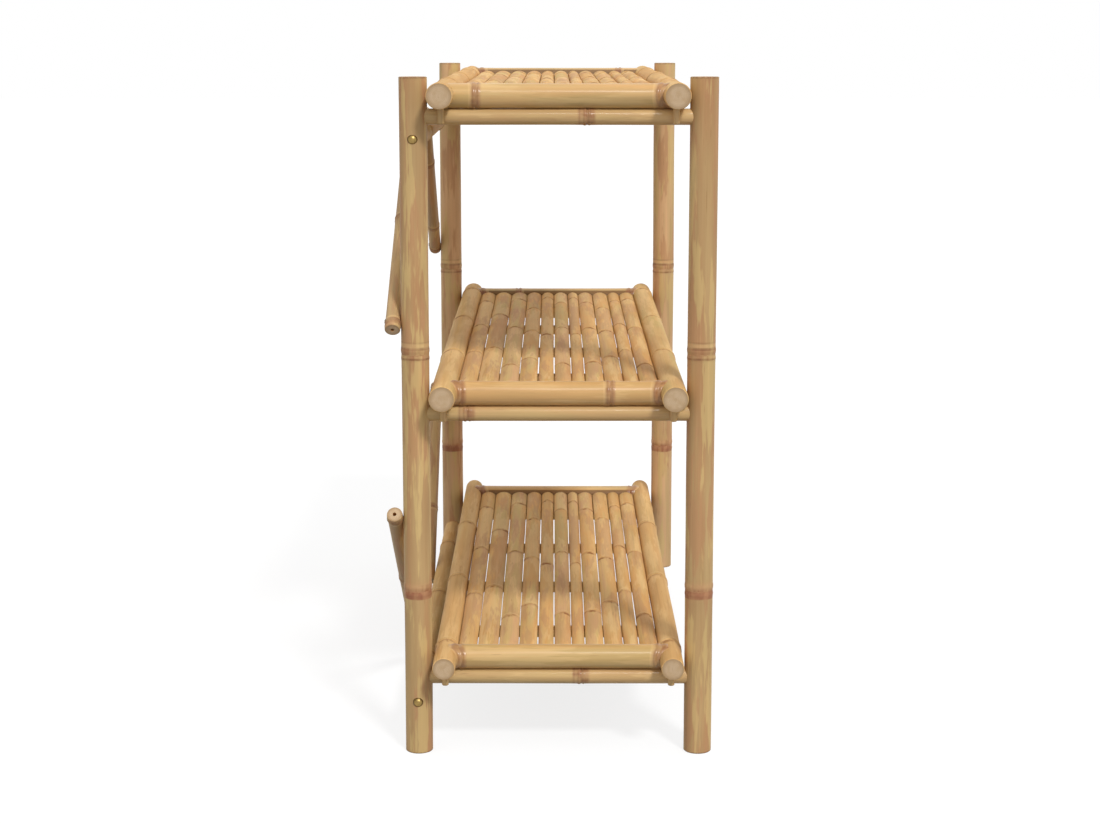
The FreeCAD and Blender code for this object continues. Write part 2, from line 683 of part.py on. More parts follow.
def make_brace(level, side):
    """A knee brace from a post's back to a back rail, bored at its ends and for two screws."""
    name = f"brace_{level}_{side}"
    span = f"Layout.brace_span_{level}"
    foot_ring = f"-{FOOT_RING_SHARE} * Sizes.brace_overhang"
    node_places = [f"Sizes.{node}" for node in BRACE_NODES[side]]
    stem = culm(
        name, "Sizes.brace_diameter", "-Sizes.brace_overhang", f"{span} + 2 * Sizes.brace_overhang",
        [foot_ring] + double_ridges(node_places, "thin_ridge"), "thin_ridge",
    )
    pith_length = f"Sizes.brace_pith_depth + {TOOL_MARGIN}"
    tools = [
        rod(
            f"{name}_pith_foot", "Sizes.brace_pith_diameter", pith_length,
            z=f"-Sizes.brace_overhang - {TOOL_MARGIN}",
        ),
        rod(
            f"{name}_pith_head", "Sizes.brace_pith_diameter", pith_length,
            z=f"{span} + Sizes.brace_overhang - Sizes.brace_pith_depth",
        ),
    ]
    for end, screw_z in (("foot", "0"), ("head", span)):
        tools.append(
            rod(
                f"{name}_hole_{end}", screw_hole("Sizes.brace_screw_diameter"),
                f"Sizes.brace_diameter + {2 * TOOL_MARGIN}",
                y=f"-Layout.brace_r - {TOOL_MARGIN}", z=screw_z, turn=ALONG_Y,
            )
        )
        tools.append(
            rod(
                f"{name}_seat_{end}", screw_hole("Sizes.brace_screw_head_diameter"),
                f"Sizes.brace_screw_seat + {TOOL_MARGIN}",
                y="Layout.brace_r - Sizes.brace_screw_seat", z=screw_z, turn=ALONG_Y,
            )
        )
    brace = cut(name, stem, tools)
    foot = f"{SIDES[side]} * Layout.post_x; Layout.back_y + Layout.brace_y_post; Layout.brace_foot_{level}"
    lean = f"0; {-SIDES[side]} * Layout.brace_lean_{level}; Layout.brace_slant_{level}"
    brace.setExpression(
        "Placement",
        f"create(<<placement>>; create(<<vector>>; {foot}); create(<<rotation>>; {lean}))",
    )
    add_node(brace, name)


def make_back_rail_screws():
    """Dome screws through the back posts into the ends of the back rails."""
    screws = []
    for level in LEVELS:
        for side, sign in SIDES.items():
            screw = dome_screw(
                f"back_rail_screw_{level}_{side}", "post_screw",
                "Layout.screw_seat_x - Layout.screw_tip_x",
            )
            place(
                screw, x=f"{sign} * Layout.screw_seat_x", y="Layout.back_y",
                z=f"Layout.back_rail_z_{level}", turn=ALONG_X if sign > 0 else AGAINST_X,
            )
            screws.append(screw)
    group("back_rail_screws", screws)


def make_brace_screws():
    """Round-head screws through the brace ends into the back posts and the back rails."""
    screws = []
    length = (
        "Sizes.brace_diameter - Sizes.brace_screw_seat + Sizes.contact_gap + Sizes.brace_screw_bite"
    )
    head_y = "Layout.brace_r - Sizes.brace_screw_seat + Sizes.screw_clearance"
    for level in LEVELS:
        for side, sign in SIDES.items():
            ends = {
                "post": ("Layout.post_x", f"Layout.brace_foot_{level}"),
                "rail": ("(Layout.post_x - Sizes.brace_reach)", f"Layout.back_rail_z_{level}"),
            }
            for end, (screw_x, screw_z) in ends.items():
                screw = dome_screw(f"brace_screw_{level}_{side}_{end}", "brace_screw", length)
                place(
                    screw, x=f"{sign} * {screw_x}",
                    y=f"Layout.back_y + Layout.brace_y_{end} + {head_y}", z=screw_z, turn=ALONG_Y,
                )
                screws.append(screw)
    group("brace_screws", screws)


def group(name, items):
    """A node of like pieces that stay separate solids."""
    item = doc.addObject("Part::Compound", name)
    item.Links = items
    add_node(item, name)


def check_model():
    """Stop if anything failed to build."""
    for item in doc.Objects:
        if {"Invalid", "Error"} & set(item.State):
            raise RuntimeError(f"{item.Name} failed: {item.State}")
    for node in nodes:
        if node.Shape.isNull() or not node.Shape.isValid():
            raise RuntimeError(f"{node.Label} has no valid shape")


def write_parts():
    """One STEP file per node."""
    os.makedirs("parts", exist_ok=True)
    for node in nodes:
        node.Shape.exportStep(f"parts/{node.Label}.step")


fill_sheet("Sizes", SIZES, "")
fill_sheet("Layout", LAYOUT, "=")
doc.recompute()

for post_depth in DEPTHS:
    for post_side in SIDES:
        make_post(post_depth, post_side)
for shelf in TIERS:
    for shelf_side in SIDES:
        make_crossbar(shelf_side, shelf)
        make_end_bar(shelf, shelf_side)
    for shelf_depth in DEPTHS:
        make_rail(shelf, shelf_depth)
    make_battens(shelf)
    make_slats(shelf)
    make_pegs(shelf)
for back_level in LEVELS:
    make_back_rail(back_level)
    for back_side in SIDES:
        make_brace(back_level, back_side)
make_back_rail_screws()
make_brace_screws()

doc.recompute()
check_model()
write_parts()

box = FreeCAD.BoundBox()
for part_node in nodes:
    box.add(part_node.Shape.BoundBox)
    print(f"{part_node.Label}: {len(part_node.Shape.Solids)} solids, {part_node.Shape.Volume:.0f} mm3")
print(f"{len(nodes)} nodes, {box}")
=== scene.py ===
import bpy
import math
import random
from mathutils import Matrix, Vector, noise


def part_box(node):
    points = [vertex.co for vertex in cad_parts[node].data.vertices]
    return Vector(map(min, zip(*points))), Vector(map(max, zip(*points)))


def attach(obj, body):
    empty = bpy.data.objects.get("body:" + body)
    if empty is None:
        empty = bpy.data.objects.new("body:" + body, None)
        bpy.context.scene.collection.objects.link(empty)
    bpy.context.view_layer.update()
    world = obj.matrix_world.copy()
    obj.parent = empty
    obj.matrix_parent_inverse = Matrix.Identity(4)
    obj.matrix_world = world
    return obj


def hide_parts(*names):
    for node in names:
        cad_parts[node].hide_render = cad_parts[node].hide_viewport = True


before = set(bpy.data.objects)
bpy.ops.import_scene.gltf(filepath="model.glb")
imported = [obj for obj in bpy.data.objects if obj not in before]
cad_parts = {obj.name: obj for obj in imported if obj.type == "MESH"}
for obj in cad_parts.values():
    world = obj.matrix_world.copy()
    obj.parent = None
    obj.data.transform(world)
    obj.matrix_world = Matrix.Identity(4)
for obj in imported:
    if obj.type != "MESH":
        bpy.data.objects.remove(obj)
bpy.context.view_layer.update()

# Lengths below are millimetres; meshes are made in metres
MM = 0.001

TIERS = ("top", "middle", "bottom")
SIDES = {"left": -1, "right": 1}
DEPTHS = ("front", "back")
LEVELS = ("upper", "lower")

# Face groups of a piece, in the order of its material slots
STEM, CUT, HOLLOW = 0, 1, 2

# Stems: radius, height of the node rings, spacing of the two rings of a node, sides of the mesh;
# some have a pith hole, or a closer step along the mesh
POST = {"radius": 15.5, "ridge": 0.4, "spacing": 9, "sides": 36, "pith": 4, "pith_depth": 12}
RAIL = {"radius": 14.3, "ridge": 0.85, "spacing": 9, "sides": 32}
LOW_RAIL = {"radius": 12.75, "ridge": 0.85, "spacing": 9, "sides": 32}
END_BAR = {"radius": 13.5, "ridge": 0.7, "spacing": 5.5, "sides": 36, "step": 6}
BACK_RAIL = {"radius": 12, "ridge": 0.8, "spacing": 9, "sides": 28}
CROSSBAR = {"radius": 9, "ridge": 0.6, "spacing": 5, "sides": 26}
BRACE = {"radius": 8.5, "ridge": 0.6, "spacing": 5, "sides": 24, "pith": 2.15, "pith_depth": 20}
PEG = {"radius": 3.75, "ridge": 0, "spacing": 5, "sides": 16}
TIER_RAILS = {"top": RAIL, "middle": RAIL, "bottom": LOW_RAIL}

# Places of the nodes from the low end of each stem
POST_NODES = (184, 452)
POST_TONES = {
    ("front", "left"): 0.41, ("front", "right"): 1.2, ("back", "left"): 0.47, ("back", "right"): 1.3,
}
RAIL_NODES = {
    "top": (175.5, 461.5, 747.5), "middle": (257.5, 547.5, 837.5), "bottom": (66.5, 347.5, 628.5),
}
CROSSBAR_NODES = {"top": (122,), "middle": (254,), "bottom": (127,)}
BACK_RAIL_NODES = (130, 392, 654)
BRACE_NODES = {"left": (5.2, 177), "right": (5.2, 66, 236)}

# End bars: places of the nodes from the front rail, or from the back rail where below zero
END_BAR_NODES = {"top": (1.5, -27), "middle": (1.5, 53, -9.5), "bottom": (1.5, -9.5)}
END_BAR_DROP = 1.6
END_TENON = {"radius": 7.5, "ridge": 0, "spacing": 5, "sides": 20}
COPE_REACH = 24
COPE_BITE = 0.6

# Braces: foot on the post, head on the back rail, and what runs past both
BRACE_FOOT = {"upper": (402.5, 173.4, 492), "lower": (402.5, 173.4, 269)}
BRACE_HEAD = {"upper": (131.5, 169.9, 693), "lower": (131.5, 169.9, 60.5)}
BRACE_OVERHANG = 13

# Slats from back to front: share of the width, and the places of their nodes along X
SLATS = (
    (19.5, (-172, 52, 288)),
    (22, (-140, 152)),
    (21, (-270, 31, 311)),
    (19.5, (-220, 1, 216)),
    (16.5, (-29, 328)),
    (18, (-257, 28, 275)),
    (14, (-29, 324)),
    (19.5, (-249, 25, 277)),
    (20, (-210, 1, 218)),
    (16, (-160, 61, 294)),
    (19, (-265, 33, 311)),
)
SLAT_GAP = 1.1
SLAT_SIDE = 4
SLAT_CROWN = 4.5
SLAT_EASE = 0.6
SLAT_RIDGE = 0.7
SLAT_RING_SPACING = 6.5
SLAT_BOW = 0.5

BATTEN_HALF = 10
BATTEN_DEPTH = 11
BATTEN_SWELL = 0.05
BATTEN_RING_SPACING = 5
BATTEN_TENON = {"radius": 4.25, "ridge": 0, "spacing": 5, "sides": 16, "length": 9}

# How far a tenon's mesh runs on inside its own piece
BATTEN_TENON_SINK = 1
END_TENON_SINK = 3

# Screws: radius and height of the head, radius and length of the shank, and the kind of head
DOME_SCREW = {"head": 5.8, "height": 3.8, "shank": 2.5, "length": 56.8, "recess": False}
ROUND_SCREW = {"head": 3.75, "height": 2.2, "shank": 1.5, "length": 27.2, "recess": True}
DOME_SEAT_X = 416.8
DOME_SEAT_Y = 149.2
ROUND_SEAT_BEHIND = 7.6

# How a sawn edge is eased, and how far a stem strays from a true round bar, as shares of its radius
BEVEL = 0.7
STEM_SWAY = 0.035
STEM_LUMPS = 0.006

# How far the tone of a skin moves on from one internode to the next
INTERNODE_STEP = 0.031

# How far apart the tones of pieces lie in the noise that shapes and colours them
SHAPE_SPREAD = 60
TONE_SPREAD = 43.0

# How far a node's colour reaches, and the angle from which an edge is shaded as sharp
NODE_REACH = 60.0
SHARP_ANGLE = 42

# Steps of the meshes along stems, slats and battens
STEM_STEP = 15
SLAT_STEP = 26
BATTEN_STEP = 24


class Shape:
    """Points, faces and surface values of one piece in the making."""

    def __init__(self, name):
        self.name = name
        self.points = []
        self.grain = []
        self.rings = []
        self.faces = []
        self.groups = []

    def loop(self, points, grain, rings):
        """Add a closed loop of points and return their numbers."""
        first = len(self.points)
        self.points += points
        self.grain += grain
        self.rings += [rings] * len(points)
        return list(range(first, len(self.points)))

    def bridge(self, low, high, group):
        """Join two loops with a band of quads."""
        count = len(low)
        for k in range(count):
            after = (k + 1) % count
            self.faces.append((low[k], low[after], high[after], high[k]))
            self.groups.append(group)

    def cap(self, loop, group):
        """Close a loop with one face."""
        self.faces.append(tuple(loop))
        self.groups.append(group)

    def build(self, materials):
        """Make the Blender object, its surface values and its materials."""
        mesh = bpy.data.meshes.new(self.name)
        mesh.from_pydata([point * MM for point in self.points], [], self.faces)
        for label, values in (("grain", self.grain), ("rings", self.rings)):
            layer = mesh.attributes.new(label, "FLOAT_VECTOR", "POINT")
            layer.data.foreach_set("vector", [part for value in values for part in value])
        mesh.polygons.foreach_set("material_index", self.groups)
        mesh.polygons.foreach_set("use_smooth", [True] * len(self.faces))
        mesh.set_sharp_from_angle(angle=math.radians(SHARP_ANGLE))
        for material in materials:
            mesh.materials.append(material)
        piece = bpy.data.objects.new(self.name, mesh)
        bpy.context.scene.collection.objects.link(piece)
        return piece


def bump(distance, reach):
    """A smooth hump: 1 at the middle, 0 from reach on."""
    return max(0.0, 1 - (distance / reach) ** 2) ** 2


def nearest(place, marks):
    """Distance from a place to the nearest mark, no more than what a node's colour reaches."""
    return min([abs(place - mark) for mark in marks] + [NODE_REACH])


def tone_at(place, nodes, spacing, tone):
    """A piece's tone at a place: the pattern of its skin starts afresh in each internode."""
    return tone + INTERNODE_STEP * sum(place > node + spacing / 2 for node in nodes)


def node_swell(place, nodes, ridge, spacing):
    """How far a surface stands out near nodes: the sheath's scar, a groove, the ridge above it."""
    swell = 0.0
    for node in nodes:
        past = place - node
        swell += 0.75 * bump(past, 0.3 * spacing)
        swell += bump(past - spacing, 0.48 * spacing)
        swell += 0.3 * bump(past - 0.5 * spacing, 3.2 * spacing)
        swell -= 0.3 * bump(past - 0.5 * spacing, 0.3 * spacing)
    return ridge * swell


def stations(length, nodes, spacing, step, inset):
    """Places of a mesh's rings along a piece: even steps, and close ones at the nodes."""
    fine = []
    for node in nodes:
        for mark in (node, node + spacing):
            fine += [mark + share * spacing for share in (-0.42, -0.26, -0.12, 0, 0.12, 0.26, 0.42)]
        fine += [node + share * spacing for share in (-1.4, -0.75, 1.75, 2.4)]
    count = round(length / step)
    places = [inset + (length - 2 * inset) * k / count for k in range(count + 1)]
    clear = [place for place in places[1:-1] if all(abs(place - mark) > 0.3 * spacing for mark in fine)]
    inside = [mark for mark in fine if inset + 0.5 < mark < length - inset - 0.5]
    return [places[0]] + sorted(clear + inside) + [places[-1]]


def frame_along(direction):
    """Two directions across a third, right-handed."""
    along = direction.normalized()
    start = Vector((0, 0, 1)) if abs(along.z) < 0.9 else Vector((1, 0, 0))
    across = start.cross(along).normalized()
    return across, along.cross(across), along


def cope_depth(cope, height, inset):
    """How much further a coped end reaches at a height, to lie on a round rail."""
    fade = max(0.0, 1 - inset / COPE_REACH)
    level = min(abs(height + cope["rise"]), 0.97 * cope["radius"])
    return fade * fade * (cope["radius"] - math.sqrt(cope["radius"] ** 2 - level ** 2))


def add_stem(shape, start, end, kind, nodes, tone, cope=None):
    """Add a bamboo stem between two points; cope shapes its ends to the round rails that it meets."""
    across, over, along = frame_along(end - start)
    length = (end - start).length
    radius, ridge, spacing, sides = kind["radius"], kind["ridge"], kind["spacing"], kind["sides"]
    marks = [node + spacing for node in nodes]
    shift = SHAPE_SPREAD * tone
    bevel = 0 if cope else BEVEL
    crown = cope["crown"] if cope else 0

    def section(place, size, rings):
        """One loop across the stem, a little oval and lumpy."""
        sway = STEM_SWAY * radius * noise.noise(Vector((place / 190, shift, 0.5)))
        bend = STEM_SWAY * radius * noise.noise(Vector((place / 190, 7.3, shift)))
        outwards = -1 if place < length / 2 else 1
        points = []
        grain = []
        for k in range(sides):
            angle = 2 * math.pi * k / sides
            round_x, round_y = math.cos(angle), math.sin(angle)
            lump = noise.noise(Vector((1.3 * round_x, 1.3 * round_y, place / 70 + shift)))
            reach = size * (1 + STEM_LUMPS * (lump + math.cos(2 * angle + shift)))
            a, b = reach * round_x, reach * round_y
            further = outwards * cope_depth(cope, b, min(place, length - place)) if cope else 0
            points.append(start + across * (a + sway) + over * (b + bend) + along * (place + further))
            grain.append((a, b - crown, place))
        return shape.loop(points, grain, rings)

    def natural(place):
        """The stem's own radius at a place."""
        return radius + node_swell(place, nodes, ridge, spacing)

    end_radius = natural(0) - bevel
    places = stations(length, nodes, spacing, kind.get("step", STEM_STEP), bevel)
    rows = [(place, natural(place)) for place in places]
    if not cope:
        rows = [(0.0, end_radius)] + rows + [(length, end_radius)]
    loops = []
    for place, size in rows:
        rings = (nearest(place, nodes), nearest(place, marks), tone_at(place, nodes, spacing, tone))
        loops.append(section(place, size, rings))
    for low, high in zip(loops, loops[1:]):
        shape.bridge(low, high, STEM)
    pith = kind.get("pith", 0)
    sawn_sizes = [end_radius, 0.86 * end_radius, 0.5 * end_radius, pith if pith else 0.1 * end_radius]
    for place, inwards in ((0.0, 1), (length, -1)):
        rings = [section(place, size, (size, end_radius, tone)) for size in sawn_sizes]
        groups = [CUT] * (len(rings) - 1)
        if pith:
            for depth in (0.5 * kind["pith_depth"], kind["pith_depth"]):
                rings.append(section(place + inwards * depth, 0.9 * pith, (0, end_radius, tone)))
                groups.append(HOLLOW)
        if inwards > 0:
            rings.reverse()
            groups.reverse()
        for low, high, group in zip(rings, rings[1:], groups):
            shape.bridge(low, high, group)
        inner = reversed(rings[0]) if inwards > 0 else rings[-1]
        shape.cap(inner, HOLLOW if pith else CUT)


def slat_section(half, place, nodes, tone):
    """Outline of a split slat across its length: flat below, straight sides, round on top."""
    swell = node_swell(place, nodes, SLAT_RIDGE, SLAT_RING_SPACING)
    edge = half + 0.25 * swell + 0.18 * noise.noise(Vector((place / 120, 9 * tone, 2.1)))
    crown = SLAT_CROWN + 0.2 * noise.noise(Vector((place / 160, 31 * tone, 5.7)))
    radius = (half * half + crown * crown) / (2 * crown)
    spread = math.asin(half / radius)
    outline = [(SLAT_EASE - edge, 0.0), (edge - SLAT_EASE, 0.0), (edge, SLAT_EASE)]
    arc_count = 9
    for k in range(arc_count):
        angle = spread * (1 - 2 * k / (arc_count - 1))
        rise = radius * (math.cos(angle) - math.cos(spread))
        share = (SLAT_SIDE + rise) / (SLAT_SIDE + crown)
        outline.append((edge * math.sin(angle) / math.sin(spread), SLAT_SIDE + rise + swell * share))
    outline.append((-edge, SLAT_EASE))
    return outline


def add_slat(shape, low_x, high_x, middle_y, base_z, half, node_places, tone):
    """Add one split slat along X."""
    length = high_x - low_x
    nodes = [place - low_x for place in node_places]
    marks = [node + SLAT_RING_SPACING for node in nodes]
    loops = []
    rows = [0.0] + stations(length, nodes, SLAT_RING_SPACING, SLAT_STEP, BEVEL) + [length]
    for place in rows:
        shrink = BEVEL * 0.8 if place in (0.0, length) else 0.0
        outline = slat_section(half - shrink, place, nodes, tone)
        bow = SLAT_BOW * noise.noise(Vector((place / 260, 17 * tone, 3.3)))
        middle = Vector((low_x + place, middle_y + bow, base_z))
        points = [middle + Vector((0, y, z * (1 - shrink / 8))) for y, z in outline]
        grain = [(y, z, place) for y, z in outline]
        own = tone_at(place, nodes, SLAT_RING_SPACING, tone)
        loops.append(shape.loop(points, grain, (nearest(place, nodes), nearest(place, marks), own)))
    count = len(loops[0])
    shape.cap(reversed(loops[0]), CUT)
    for low, high in zip(loops, loops[1:]):
        shape.bridge(low, high, STEM)
        # The flat underside and its two eased edges
        for k in (0, 1, count - 1):
            shape.groups[k - count] = CUT
    shape.cap(loops[-1], CUT)


def add_batten(shape, x, low_y, high_y, top_z, tone):
    """Add a split batten along Y, flat side up, with a round tenon at each end."""
    radius = (BATTEN_HALF ** 2 + BATTEN_DEPTH ** 2) / (2 * BATTEN_DEPTH)
    spread = math.atan2(BATTEN_HALF, radius - BATTEN_DEPTH)
    arc_count = 13
    outline = []
    for k in range(arc_count):
        angle = spread * (1 - 2 * k / (arc_count - 1))
        outline.append((-radius * math.sin(angle), -BATTEN_DEPTH + radius * (1 - math.cos(angle))))
    length = high_y - low_y
    nodes = (length * (0.25 + 0.5 * tone),)
    marks = (nodes[0] + BATTEN_RING_SPACING,)
    loops = []
    for place in stations(length, nodes, BATTEN_RING_SPACING, BATTEN_STEP, 0):
        swell = 1 + node_swell(place, nodes, BATTEN_SWELL, BATTEN_RING_SPACING)
        points = [Vector((x + a * swell, low_y + place, top_z + b * swell)) for a, b in outline]
        grain = [(a, b, place) for a, b in outline]
        rings = (nearest(place, nodes), nearest(place, marks), tone)
        loops.append(shape.loop(points, grain, rings))
    shape.cap(loops[0], CUT)
    for low, high in zip(loops, loops[1:]):
        shape.bridge(high, low, STEM)
        shape.groups[-1] = CUT
    shape.cap(reversed(loops[-1]), CUT)
    middle_z = top_z - BATTEN_DEPTH / 2
    reach = BATTEN_TENON["length"]
    sink = BATTEN_TENON_SINK
    for from_y, to_y in ((low_y - reach, low_y + sink), (high_y - sink, high_y + reach)):
        start = Vector((x, from_y, middle_z))
        end = Vector((x, to_y, middle_z))
        add_stem(shape, start, end, BATTEN_TENON, (), tone)


def add_screw(shape, seat, direction, kind):
    """Add a screw: a domed head, smooth or with a cross recess, on a shank that ends in a point."""
    head_radius, head_height = kind["head"], kind["height"]
    shank_radius, shank_length = kind["shank"], kind["length"]
    across, over, along = frame_along(direction)
    ball = (head_radius ** 2 + head_height ** 2) / (2 * head_height)
    point_top = 3 * shank_radius - shank_length
    rows = [(-shank_length, 0.05), (point_top, shank_radius), (0, shank_radius), (0, head_radius)]
    dome_count = 12
    for k in range(1, dome_count):
        angle = math.asin(head_radius / ball) * (1 - k / dome_count)
        rows.append((ball * math.cos(angle) - ball + head_height, ball * math.sin(angle)))
    sides = 48
    slot_half, slot_reach, slot_depth = 0.11 * head_radius, 0.6 * head_radius, 0.42 * head_height
    loops = []
    for height, size in rows:
        points = []
        for k in range(sides):
            angle = 2 * math.pi * (k + 0.5) / sides
            a, b = size * math.cos(angle), size * math.sin(angle)
            in_cross = min(abs(a), abs(b)) < slot_half and max(abs(a), abs(b)) < slot_reach
            depth = slot_depth if kind["recess"] and in_cross and height > 0 else 0.0
            points.append(seat + across * a + over * b + along * (height - depth))
        loops.append(shape.loop(points, [tuple(point) for point in points], (size / head_radius, 0, 0)))
    shape.cap(reversed(loops[0]), STEM)
    for low, high in zip(loops, loops[1:]):
        shape.bridge(low, high, STEM)
    shape.cap(loops[-1], STEM)


# Materials

def srgb(red, green, blue):
    """A colour given in display values, as the renderer's linear values."""
    def linear(value):
        share = value / 255
        return share / 12.92 if share <= 0.04045 else ((share + 0.055) / 1.055) ** 2.4
    return (linear(red), linear(green), linear(blue), 1.0)


class Graph:
    """A material's nodes, with short calls for the ones used here."""

    def __init__(self, name):
        self.material = bpy.data.materials.new(name)
        self.material.use_nodes = True
        self.tree = self.material.node_tree
        self.shader = self.tree.nodes["Principled BSDF"]

    def feed(self, socket, value):
        """Link a socket to another, or set its value."""
        if isinstance(value, bpy.types.NodeSocket):
            self.tree.links.new(value, socket)
        else:
            socket.default_value = value

    def attribute(self, name):
        """A vector stored on the mesh."""
        node = self.tree.nodes.new("ShaderNodeAttribute")
        node.attribute_name = name
        return node.outputs["Vector"]

    def split(self, vector):
        """The three parts of a vector."""
        node = self.tree.nodes.new("ShaderNodeSeparateXYZ")
        self.feed(node.inputs[0], vector)
        return node.outputs["X"], node.outputs["Y"], node.outputs["Z"]

    def math(self, operation, first, second=0.0):
        """One sum on one or two values."""
        node = self.tree.nodes.new("ShaderNodeMath")
        node.operation = operation
        self.feed(node.inputs[0], first)
        self.feed(node.inputs[1], second)
        return node.outputs[0]

    def stretch(self, vector, scale):
        """A vector with each part scaled."""
        node = self.tree.nodes.new("ShaderNodeVectorMath")
        node.operation = "MULTIPLY"
        self.feed(node.inputs[0], vector)
        self.feed(node.inputs[1], scale)
        return node.outputs[0]

    def noise(self, vector, scale, fourth, detail=2.0, distortion=0.0):
        """Soft noise over a stretched vector; fourth tells pieces apart."""
        node = self.tree.nodes.new("ShaderNodeTexNoise")
        node.noise_dimensions = "4D"
        self.feed(node.inputs["Vector"], self.stretch(vector, scale))
        self.feed(node.inputs["W"], fourth)
        self.feed(node.inputs["Scale"], 1.0)
        self.feed(node.inputs["Detail"], detail)
        self.feed(node.inputs["Distortion"], distortion)
        return node.outputs[0]

    def step(self, value, low, high, top=1.0):
        """A smooth step from 0 at low to top at high."""
        node = self.tree.nodes.new("ShaderNodeMapRange")
        node.interpolation_type = "SMOOTHSTEP"
        self.feed(node.inputs["Value"], value)
        self.feed(node.inputs["From Min"], low)
        self.feed(node.inputs["From Max"], high)
        self.feed(node.inputs["To Max"], top)
        return node.outputs[0]

    def mix(self, share, first, second):
        """A blend of two colours."""
        node = self.tree.nodes.new("ShaderNodeMix")
        node.data_type = "RGBA"
        self.feed(node.inputs["Factor"], share)
        self.feed(node.inputs["A"], first)
        self.feed(node.inputs["B"], second)
        return node.outputs["Result"]

    def scale(self, colour, factor):
        """A colour made darker or lighter."""
        node = self.tree.nodes.new("ShaderNodeVectorMath")
        node.operation = "SCALE"
        self.feed(node.inputs[0], colour)
        self.feed(node.inputs["Scale"], factor)
        return node.outputs[0]

    def ramp(self, value, colours):
        """A colour picked along an even row of colours."""
        node = self.tree.nodes.new("ShaderNodeValToRGB")
        while len(node.color_ramp.elements) < len(colours):
            node.color_ramp.elements.new(0.5)
        for number, colour in enumerate(colours):
            node.color_ramp.elements[number].position = number / (len(colours) - 1)
            node.color_ramp.elements[number].color = colour
        self.feed(node.inputs[0], value)
        return node.outputs[0]

    def relief(self, height, strength, distance):
        """Fine relief from a height value."""
        node = self.tree.nodes.new("ShaderNodeBump")
        self.feed(node.inputs["Height"], height)
        self.feed(node.inputs["Strength"], strength)
        self.feed(node.inputs["Distance"], distance)
        self.feed(self.shader.inputs["Normal"], node.outputs[0])

    def finish(self, **values):
        """Set the shader's sockets and return the material."""
        for name, value in values.items():
            self.feed(self.shader.inputs[name.replace("_", " ")], value)
        return self.material


OLIVE_TAN = srgb(191, 160, 112)
TAN = srgb(184, 149, 104)
SALMON = srgb(184, 139, 97)
FLAME = srgb(207, 178, 121)
GOLD = srgb(211, 173, 114)
AMBER = srgb(205, 160, 103)
PINK_GOLD = srgb(206, 162, 116)
OLIVE_GOLD = srgb(201, 170, 110)
HONEY = srgb(210, 161, 100)
BAR_GOLD = srgb(191, 159, 103)
BAR_OLIVE = srgb(190, 159, 98)
STRAW = srgb(199, 167, 113)
PINK_STRAW = srgb(197, 158, 108)
PALE_GOLD = srgb(226, 190, 134)
BRACE_TAN = srgb(180, 150, 108)
BRACE_ROSE = srgb(176, 139, 99)
BROWN_STREAK = srgb(148, 108, 68)
STAIN = srgb(160, 108, 78)
BAND = srgb(152, 98, 72)
ROSE = srgb(186, 140, 100)
PALE_ROSE = srgb(210, 170, 126)
BLUSH = srgb(196, 142, 104)
SMUDGE = srgb(132, 78, 46)
DARK_LINE = srgb(104, 64, 42)
GRIME_AND_SHADE = srgb(92, 58, 36)
SAWN = srgb(198, 171, 138)
SAWN_DEEP = srgb(184, 152, 112)
SAWN_RIM = srgb(150, 118, 80)
SPLIT = srgb(204, 166, 110)
PITH = srgb(176, 122, 70)
PITH_PALE = srgb(206, 156, 100)
# Brass and steel, each with a darker tone for tarnish and for the painted shade at the rims of heads
BRASS = srgb(158, 132, 80)
BRASS_TARNISH_AND_SHADE = srgb(88, 66, 34)
STEEL = srgb(150, 140, 124)
STEEL_TARNISH_AND_SHADE = srgb(88, 78, 66)

# Lines across a node: place, half width and softness as shares of the spacing of its rings, strength
POST_LINES = ((0.0, 0.05, 0.15, 0.5), (1.29, 0.09, 0.16, 0.5), (2.0, 0.05, 0.15, 0.3))
BAR_LINES = ((0.45, 0.35, 0.45, 0.2), (1.15, 0.06, 0.3, 0.2))
THIN_LINES = ((0.15, 0.4, 0.4, 0.25), (1.75, 0.4, 0.5, 0.15))
FAINT_LINES = ((0.0, 0.05, 0.1, 0.62), (1.1, 0.06, 0.12, 0.28))

# Dirt at post ends, painted shade and dirt at slat ends, and the height below which a post's node is a
# dark band
POST_DIRT = 2.5
SLAT_END_SHADE = 6
POST_BAND_BELOW = 310

# Gloss of the varnish: worn on rails and slats, kept on thin stems and bars
MATT = {"specular": 0.03, "rough": 0.58, "coat": 0.05, "coat_rough": 0.2}
SATIN = {"specular": 0.1, "rough": 0.48, "coat": 0.1, "coat_rough": 0.15}
SHINY = {"specular": 0.1, "rough": 0.46, "coat": 0.3, "coat_rough": 0.12}
GLOSSY = {"specular": 0.1, "rough": 0.44, "coat": 0.5, "coat_rough": 0.22}


